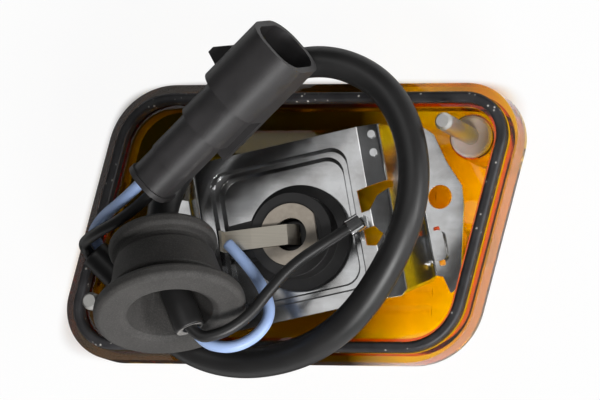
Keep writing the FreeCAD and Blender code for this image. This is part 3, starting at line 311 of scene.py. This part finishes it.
# Matt, and grey rather than black, because dust sits in its pores.
dusted, tree, place = new_finish("black_rubber_dusty")
cloud = add(tree, "TexNoise", {"Vector": place, "Scale": 1 / RUBBER_CLOUD, "Detail": 5.0})
pore = add(tree, "TexNoise", {"Vector": place, "Scale": 1 / PORE, "Detail": 3.0})
grey = add(tree, "Mix", {
    "Factor": cloud.outputs["Fac"], SHADE_1: linear("#2C2B2A"), SHADE_2: linear("#474543")},
    data_type="RGBA")
dust = add(tree, "MapRange", {
    "Value": pore.outputs["Fac"], "From Min": 0.45, "From Max": 0.8, "To Min": 0.0, "To Max": 0.35})
pale = add(tree, "Mix", {
    "Factor": dust.outputs["Result"], SHADE_1: grey.outputs[BLEND], SHADE_2: linear("#6E6B68")},
    data_type="RGBA")
skin = add(tree, "Bump", {"Height": pore.outputs["Fac"], "Strength": 0.3, "Distance": 0.00015})
body = add(tree, "BsdfPrincipled", {
    "Base Color": pale.outputs[BLEND], "Roughness": 0.75, "Normal": skin.outputs["Normal"]})
add(tree, "OutputMaterial", {"Surface": body.outputs[0]})
grommet_moulding = eased("grommet_moulding", "grommet", GROMMET_EDGE, dusted)

# Connector: two-way plug with its housing and rear cap moulded in black glass filled nylon.
# The cap snaps on behind the two rubber seals of the wires.
NYLON_FLOW = 0.005
SPARK_PIT = 0.0004
PLUG_EDGE = 0.0003

# Satin black: the mould was spark eroded, which leaves fine pits, and the flow varies the gloss.
moulded, tree, place = new_finish("black_nylon_moulded")
cloud = add(tree, "TexNoise", {"Vector": place, "Scale": 1 / NYLON_FLOW, "Detail": 4.0})
pit = add(tree, "TexNoise", {"Vector": place, "Scale": 1 / SPARK_PIT, "Detail": 2.0})
grey = add(tree, "Mix", {
    "Factor": cloud.outputs["Fac"], SHADE_1: linear("#262525"), SHADE_2: linear("#363435")},
    data_type="RGBA")
rough = add(tree, "MapRange", {"Value": cloud.outputs["Fac"], "To Min": 0.38, "To Max": 0.55})
skin = add(tree, "Bump", {"Height": pit.outputs["Fac"], "Strength": 0.25, "Distance": 0.0001})
body = add(tree, "BsdfPrincipled", {
    "Base Color": grey.outputs[BLEND], "Roughness": rough.outputs["Result"],
    "Normal": skin.outputs["Normal"]})
add(tree, "OutputMaterial", {"Surface": body.outputs[0]})
plug_housing = eased("plug_housing", "connector_housing", PLUG_EDGE, moulded)
plug_cap = eased("plug_rear_cap", "connector_rear_cap", PLUG_EDGE, moulded)
dress(nodes["wire_seals"], rubber)

# Sheath: soft black sleeve, extruded and pulled over the two wires between lamp and plug.
# Both ends are cut square. Its bore is oval there, because the two wires lie side by side in it.
SLEEVE = 0.0035  # outer radius
BORE = 0.0027
BORE_WIDTH = 0.6  # share of the bore's height
DEEP = 0.006  # the hollow part of each end
CHAMFER = 0.0004
CHAMFER_LIP = 0.0001
POINT = 0.00001  # radius of the last ring before a closed end
SLEEVE_ROWS, SLEEVE_SIDES = 260, 32
RIM = 0.024  # height of the lens's back edge, from which the route was measured
SHEATH_ROUTE = np.array([
    (-42.5, -8.5, 11.0), (-33.8, -16.6, 8.6), (-27.0, -25.4, 6.7), (-18.4, -30.9, 6.1),
    (-8.5, -33.0, 6.7), (2.0, -32.0, 8.2), (12.0, -28.6, 10.6), (20.8, -22.2, 13.4),
    (28.4, -12.0, 16.0), (33.4, -1.0, 17.6), (34.4, 10.0, 18.0), (31.6, 21.0, 18.0),
    (25.0, 29.6, 18.4), (14.6, 34.0, 19.4), (3.6, 32.8, 19.4), (-6.2, 27.4, 17.2),
    (-15.9, 19.2, 13.8), (-26.4, 2.7, 14.9), (-21.6, -13.6, 21.9), (-15.0, -26.8, 22.4)]) / 1000
SHEATH_ROUTE[:, 2] += RIM


def smooth_line(name, route):
    """Points along the quadratic NURBS line whose control points are the route's corners."""
    curve = bpy.data.curves.new(name + "_line", "CURVE")
    curve.dimensions = "3D"
    spline = curve.splines.new("NURBS")
    spline.points.add(len(route) - 1)
    spline.points.foreach_set("co", np.column_stack([route, np.ones(len(route))]).ravel())
    spline.order_u = 3
    spline.use_endpoint_u = True
    spline.resolution_u = 12
    carrier = bpy.data.objects.new(name + "_line", curve)
    bpy.context.scene.collection.objects.link(carrier)
    line = bpy.data.meshes.new_from_object(carrier)
    points = np.empty(len(line.vertices) * 3)
    line.vertices.foreach_get("co", points)
    bpy.data.objects.remove(carrier)
    bpy.data.curves.remove(curve)
    bpy.data.meshes.remove(line)
    return points.reshape(-1, 3)


def length_of(line):
    """Length of a line: the sum of the distances between neighbouring points."""
    return float(np.linalg.norm(np.diff(line, axis=0), axis=1).sum())


def along(line, stations):
    """Centres, side vectors and up vectors at distances along a line: a centre lies between the two
    nearest points, side is level and square to the line, and up is square to both."""
    step = np.linalg.norm(np.diff(line, axis=0), axis=1)
    reach = np.concatenate([[0], np.cumsum(step)])
    centre = np.column_stack([np.interp(stations, reach, line[:, k]) for k in range(3)])
    slope = np.gradient(line, reach, axis=0)
    ahead = np.column_stack([np.interp(stations, reach, slope[:, k]) for k in range(3)])
    ahead /= np.linalg.norm(ahead, axis=1)[:, None]
    side = np.cross(ahead, (0.0, 0.0, 1.0))
    side /= np.linalg.norm(side, axis=1)[:, None]
    return centre, side, np.cross(side, ahead)


def carried(name, line, stations, radii, around=24, widths=1.0):
    """Round or oval profile carried along a line: each row is a ring at one distance, centre plus
    radius times (width share times cosine of the angle times side plus sine times up). The first
    and the last ring are closed with a face."""
    centre, side, up = along(line, stations)
    side = side * np.broadcast_to(widths, len(stations))[:, None]
    angle = np.linspace(0, 2 * np.pi, around, endpoint=False)[None, :, None]
    ring = np.cos(angle) * side[:, None, :] + np.sin(angle) * up[:, None, :]
    corners = centre[:, None, :] + np.asarray(radii)[:, None, None] * ring
    index = np.arange(len(stations) * around).reshape(-1, around)
    right = np.roll(index, -1, axis=1)
    faces = np.stack([index[:-1], index[1:], right[1:], right[:-1]], axis=-1).reshape(-1, 4)
    caps = [index[0].tolist(), index[-1][::-1].tolist()]
    return new_piece(name, corners.reshape(-1, 3).tolist(), faces.tolist() + caps)


# The rings run from the bottom of one hollow end, out over its cut face, along the outside of the
# sleeve and back into the other end.
line = smooth_line("cable_sheath", SHEATH_ROUTE)
whole = length_of(line)
stations = np.concatenate([
    [DEEP, DEEP, 0.0, 0.0, CHAMFER_LIP], np.linspace(CHAMFER, whole - CHAMFER, SLEEVE_ROWS),
    [whole - CHAMFER_LIP, whole, whole, whole - DEEP, whole - DEEP]])
radii = np.concatenate([
    [POINT, BORE, BORE, SLEEVE - CHAMFER, SLEEVE - CHAMFER_LIP], np.full(SLEEVE_ROWS, SLEEVE),
    [SLEEVE - CHAMFER_LIP, SLEEVE - CHAMFER, BORE, BORE, POINT]])
widths = np.ones(len(stations))
widths[[1, 2, -3, -2]] = BORE_WIDTH
sheath = carried("sheath_sleeve", line, stations, radii, SLEEVE_SIDES, widths)

# Satin black, smooth from the die, in two close shades.
SLEEVE_CLOUD = 0.007
SLEEVE_GRAIN = 0.0007
sleeve, tree, place = new_finish("black_sleeve_extruded")
cloud = add(tree, "TexNoise", {"Vector": place, "Scale": 1 / SLEEVE_CLOUD, "Detail": 4.0})
grey = add(tree, "Mix", {
    "Factor": cloud.outputs["Fac"], SHADE_1: linear("#161616"), SHADE_2: linear("#262525")},
    data_type="RGBA")
rough = add(tree, "MapRange", {"Value": cloud.outputs["Fac"], "To Min": 0.34, "To Max": 0.52})
fine = add(tree, "TexNoise", {"Vector": place, "Scale": 1 / SLEEVE_GRAIN, "Detail": 2.0})
skin = add(tree, "Bump", {"Height": fine.outputs["Fac"], "Strength": 0.1, "Distance": 0.0001})
body = add(tree, "BsdfPrincipled", {
    "Base Color": grey.outputs[BLEND], "Roughness": rough.outputs["Result"],
    "Normal": skin.outputs["Normal"]})
add(tree, "OutputMaterial", {"Surface": body.outputs[0]})

# The cut faces are torn by the blade, so they are matt and paler.
TORN = 0.0008
cut_face, tree, place = new_finish("cut_sleeve_edge")
cloud = add(tree, "TexNoise", {"Vector": place, "Scale": 1 / TORN, "Detail": 4.0})
pale = add(tree, "Mix", {
    "Factor": cloud.outputs["Fac"], SHADE_1: linear("#5A5856"), SHADE_2: linear("#A3A09C")},
    data_type="RGBA")
body = add(tree, "BsdfPrincipled", {"Base Color": pale.outputs[BLEND], "Roughness": 0.7})
add(tree, "OutputMaterial", {"Surface": body.outputs[0]})
dress(sheath, sleeve, cut_face)
strip_of = np.zeros((len(stations) - 1, SLEEVE_SIDES), dtype=np.int32)
strip_of[[2, -3]] = 1
sheath.data.polygons.foreach_set(
    "material_index", np.append(strip_of.ravel(), [0, 0]).astype(np.int32))
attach(sheath, "root")
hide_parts("cable_sheath")

# Wires: thin walled single cores that leave the sheath at both ends, pale blue to the live contact
# and black to the earth crimp of the bracket, and both into the rear cap of the plug.
WIRE = 0.0013  # outer radius
WIRE_END = 0.0002  # easing of the cut ends
WIRE_ROWS = 120
BLUE_LAMP_ROUTE = np.array([
    (-17.48, -21.83, 44.89), (-13.82, -29.16, 45.17), (-6.4, -31.2, 45), (-0.3, -28.2, 43.4),
    (2.2, -22.7, 41.2), (-0.5, -16.6, 39.8), (-5, -11, 39.2), (-9.8, -6.6, 38.4)]) / 1000
BLACK_LAMP_ROUTE = np.array([
    (-17.52, -21.75, 47.53), (-13.86, -29.08, 47.81), (-7.1, -28, 47.6), (-1.4, -24, 46.6),
    (2.3, -18, 44.6), (6.6, -11.8, 41.6), (13.25, -6.02, 37.39), (19.51, -1.22, 34.52)]) / 1000
BLUE_PLUG_ROUTE = np.array([
    (-22.53, 9.64, 50.26), (-31.12, 2.02, 48.03), (-39.2, -1.1, 40.8), (-43.68, -5.6, 35.6),
    (-37.58, -11.28, 33.92)]) / 1000
BLACK_PLUG_ROUTE = np.array([
    (-20.17, 7.08, 49.93), (-29.49, -1.19, 47.51), (-41.6, -5.8, 42.4), (-45.41, -7.59, 35.53),
    (-39.39, -13.2, 33.87)]) / 1000
INSULATION_CLOUD = 0.004


def core(name, route, finish, node):
    """Round wire along its route, with its radius drawn in at both ends to a closed point."""
    line = smooth_line(name, route)
    whole = length_of(line)
    rows = np.linspace(WIRE_END, whole - WIRE_END, WIRE_ROWS)
    stations = np.concatenate([[0.0, 0.0], rows, [whole, whole]])
    radii = np.concatenate([
        [POINT, WIRE - WIRE_END], np.full(WIRE_ROWS, WIRE), [WIRE - WIRE_END, POINT]])
    piece = carried(name, line, stations, radii)
    dress(piece, finish)
    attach(piece, "root")
    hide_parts(node)
    return piece, line


def insulation(name, dark, light):
    """Extruded insulation: a soft cloud of two near shades on a satin, faintly rippled skin."""
    finish, tree, place = new_finish(name)
    cloud = add(tree, "TexNoise", {"Vector": place, "Scale": 1 / INSULATION_CLOUD, "Detail": 3.0})
    colour = add(tree, "Mix", {
        "Factor": cloud.outputs["Fac"], SHADE_1: linear(dark), SHADE_2: linear(light)},
        data_type="RGBA")
    skin = add(tree, "Bump", {"Height": cloud.outputs["Fac"], "Strength": 0.05, "Distance": 0.0002})
    body = add(tree, "BsdfPrincipled", {
        "Base Color": colour.outputs[BLEND], "Roughness": 0.42, "Normal": skin.outputs["Normal"]})
    add(tree, "OutputMaterial", {"Surface": body.outputs[0]})
    return finish


blue = insulation("blue_insulation_extruded", "#97B0E0", "#AEC6EE")
black = insulation("black_insulation_extruded", "#191919", "#292828")
blue_lamp, blue_lamp_line = core(
    "core_blue_lamp", BLUE_LAMP_ROUTE, blue, "wire_blue_lamp")
black_lamp, black_lamp_line = core(
    "core_black_lamp", BLACK_LAMP_ROUTE, black, "wire_black_lamp")
blue_plug, blue_plug_line = core(
    "core_blue_plug", BLUE_PLUG_ROUTE, blue, "wire_blue_plug")
black_plug, black_plug_line = core(
    "core_black_plug", BLACK_PLUG_ROUTE, black, "wire_black_plug")

# Stage: sweep of white paper that keeps a faint shadow. Around the left of the lens a dark patch of
# painted shade is seen by all rays but the camera's. It stands in for the shade there, so that the
# clear amber doesn't glow there.
FLOOR, FLOOR_DROP = 6.0, 0.0002
FOOT_CENTRE = (-0.0076, 0.0032, 0.0)  # the lens as the camera sees it on the floor
FOOT_HALF_X, FOOT_HALF_Y = 0.0484, 0.0316
LEAN = 0.2309
ROUNDNESS = 8.0
PAPER_CLOUD = 0.3
# The dark patch of painted shade under the left of the lens fades out over a range of reach and
# over a range of x, both set below.
WHITE_FROM, WHITE_TO = 0.99, 1.06  # in sizes of the lens's foot, as the next two lines
PAINTED_SHADE_FROM, PAINTED_SHADE_TO = 1.8, 3.0
MIRRORED_FROM, MIRRORED_TO = 6.0, 14.0
PAINTED_SHADE_RIGHT, PAINTED_SHADE_RIGHT_END = 0.016, 0.03  # in x from the centre of the foot
WHITE_SHARE = 0.94  # the rest of the floor's light keeps the shadow
paper, tree, place = new_finish("white_paper_sweep_painted_shade")
cloud = add(tree, "TexNoise", {"Vector": place, "Scale": 1 / PAPER_CLOUD, "Detail": 2.0})
white = add(tree, "Mix", {
    "Factor": cloud.outputs["Fac"], SHADE_1: linear("#F4F4F4"), SHADE_2: linear("#FAFAFA")},
    data_type="RGBA")

# Reach is 1 on the leaning, rounded outline of the lens. It is the root of the sum of two shares,
# each raised to the roundness: x less the lean times y, over one half size, and y over the other.
spot = add(tree, "VectorMath", {0: place, 1: FOOT_CENTRE}, operation="SUBTRACT")
split = add(tree, "SeparateXYZ", {"Vector": spot.outputs[0]})
skew = add(tree, "Math", {0: split.outputs["Y"], 1: -LEAN, 2: split.outputs["X"]},
           operation="MULTIPLY_ADD")
shares = []
for value, half in ((skew.outputs[0], FOOT_HALF_X), (split.outputs["Y"], FOOT_HALF_Y)):
    scaled = add(tree, "Math", {0: value, 1: half}, operation="DIVIDE")
    size = add(tree, "Math", {0: scaled.outputs[0]}, operation="ABSOLUTE")
    shares.append(add(tree, "Math", {0: size.outputs[0], 1: ROUNDNESS}, operation="POWER"))
total = add(tree, "Math", {0: shares[0].outputs[0], 1: shares[1].outputs[0]}, operation="ADD")
reach = add(tree, "Math", {0: total.outputs[0], 1: 1 / ROUNDNESS}, operation="POWER").outputs[0]

# The painted shade: a dark patch under the left of the lens, hidden from the camera.
under = add(tree, "MapRange", {
    "Value": reach, "From Min": PAINTED_SHADE_FROM, "From Max": PAINTED_SHADE_TO, "To Min": 1.0, "To Max": 0.0})
left = add(tree, "MapRange", {
    "Value": split.outputs["X"], "From Min": PAINTED_SHADE_RIGHT, "From Max": PAINTED_SHADE_RIGHT_END, "To Min": 1.0,
    "To Max": 0.0})
ray = add(tree, "LightPath")
unseen = add(tree, "Math", {0: 1.0, 1: ray.outputs["Is Camera Ray"]}, operation="SUBTRACT")
beneath = add(tree, "Math", {0: under.outputs["Result"], 1: left.outputs["Result"]},
              operation="MULTIPLY")
painted_shade_mask = add(tree, "Math", {0: beneath.outputs[0], 1: unseen.outputs[0]}, operation="MULTIPLY")
# Mixes the dark colour of the painted shade into the paper wherever its mask is on.
paper_and_painted_shade = add(tree, "Mix", {
    "Factor": painted_shade_mask.outputs[0], SHADE_1: white.outputs[BLEND], SHADE_2: linear("#3C3A38")},
    data_type="RGBA")
matt = add(tree, "BsdfDiffuse", {"Color": paper_and_painted_shade.outputs[BLEND]})

# White to the camera beside the lens, and to mirrored and refracted rays farther out.
bright = add(tree, "Emission", {"Color": (1.0, 1.0, 1.0, 1.0), "Strength": 1.0})
near_edge = add(tree, "MapRange", {
    "Value": reach, "From Min": WHITE_FROM, "From Max": WHITE_TO, "To Max": WHITE_SHARE},
    interpolation_type="SMOOTHSTEP")
far_edge = add(tree, "MapRange", {
    "Value": reach, "From Min": MIRRORED_FROM, "From Max": MIRRORED_TO},
    interpolation_type="SMOOTHSTEP")
mirrored = add(tree, "Math", {
    0: ray.outputs["Is Glossy Ray"], 1: ray.outputs["Is Transmission Ray"]}, operation="MAXIMUM")
direct = add(tree, "Math", {0: ray.outputs["Is Camera Ray"], 1: near_edge.outputs["Result"]},
             operation="MULTIPLY")
through = add(tree, "Math", {0: mirrored.outputs[0], 1: far_edge.outputs["Result"]},
              operation="MULTIPLY")
share = add(tree, "Math", {0: direct.outputs[0], 1: through.outputs[0]}, operation="MAXIMUM")
sweep = add(tree, "MixShader", {0: share.outputs[0], 1: matt.outputs[0], 2: bright.outputs[0]})
add(tree, "OutputMaterial", {"Surface": sweep.outputs[0]})
floor = new_piece("floor", [
    (-FLOOR, -FLOOR, -FLOOR_DROP), (FLOOR, -FLOOR, -FLOOR_DROP), (FLOOR, FLOOR, -FLOOR_DROP),
    (-FLOOR, FLOOR, -FLOOR_DROP)], [(0, 1, 2, 3)])
dress(floor, paper)

# Lamps: a strong soft box in front and a weaker one low on the right light the part.
# Two small ones overhead mostly show in the bright metal, and the room adds a little.
LIT = Vector((0, 0, 0.02))
ROOM = 0.07
for name, spot, wide, power in (("overhead_box", (-0.72, 0.42, 2.4), 1.0, 2.6),
                                ("top_box", (0.15, 0.35, 2.4), 0.5, 3.0),
                                ("front_box", (1.25, -1.9, 1.75), 1.0, 76.0),
                                ("right_box", (2.2, -0.5, 0.9), 0.8, 24.0)):
    lamp = bpy.data.lights.new(name, "AREA")
    lamp.size = wide
    lamp.energy = power
    soft_box = bpy.data.objects.new(name, lamp)
    bpy.context.scene.collection.objects.link(soft_box)
    soft_box.location = spot
    soft_box.rotation_euler = (LIT - Vector(spot)).to_track_quat("-Z", "Y").to_euler()
world = bpy.data.worlds.new("studio_room")
bpy.context.scene.world = world
world.use_nodes = True
world.node_tree.nodes.clear()
glow = add(world.node_tree, "Background", {"Color": (1.0, 1.0, 1.0, 1.0), "Strength": ROOM})
add(world.node_tree, "OutputWorld", {"Surface": glow.outputs[0]})

# Camera: far away with a long lens, so that parallel edges stay nearly parallel.
# It looks down on the back of the lamp, from a little to the right and in front.
TOWARDS = Vector((0.2995, -0.127, 0.9455))
RIGHT = Vector((0.9541, 0.0399, -0.2968))
UP = TOWARDS.cross(RIGHT)
AIM = Vector((0.0022, 0.0051, 0.024))
AWAY = 1.1
lens_data = bpy.data.cameras.new("studio_camera")
lens_data.sensor_width = 36.0
lens_data.lens = 292.0
lens_data.clip_start = 0.05
lens_data.clip_end = 20.0
camera = bpy.data.objects.new("studio_camera", lens_data)
bpy.context.scene.collection.objects.link(camera)
turn = Matrix((RIGHT, UP, TOWARDS)).transposed().to_4x4()
camera.matrix_world = Matrix.Translation(AIM + AWAY * TOWARDS) @ turn
bpy.context.scene.camera = camera
bpy.context.scene.view_settings.view_transform = "Standard"
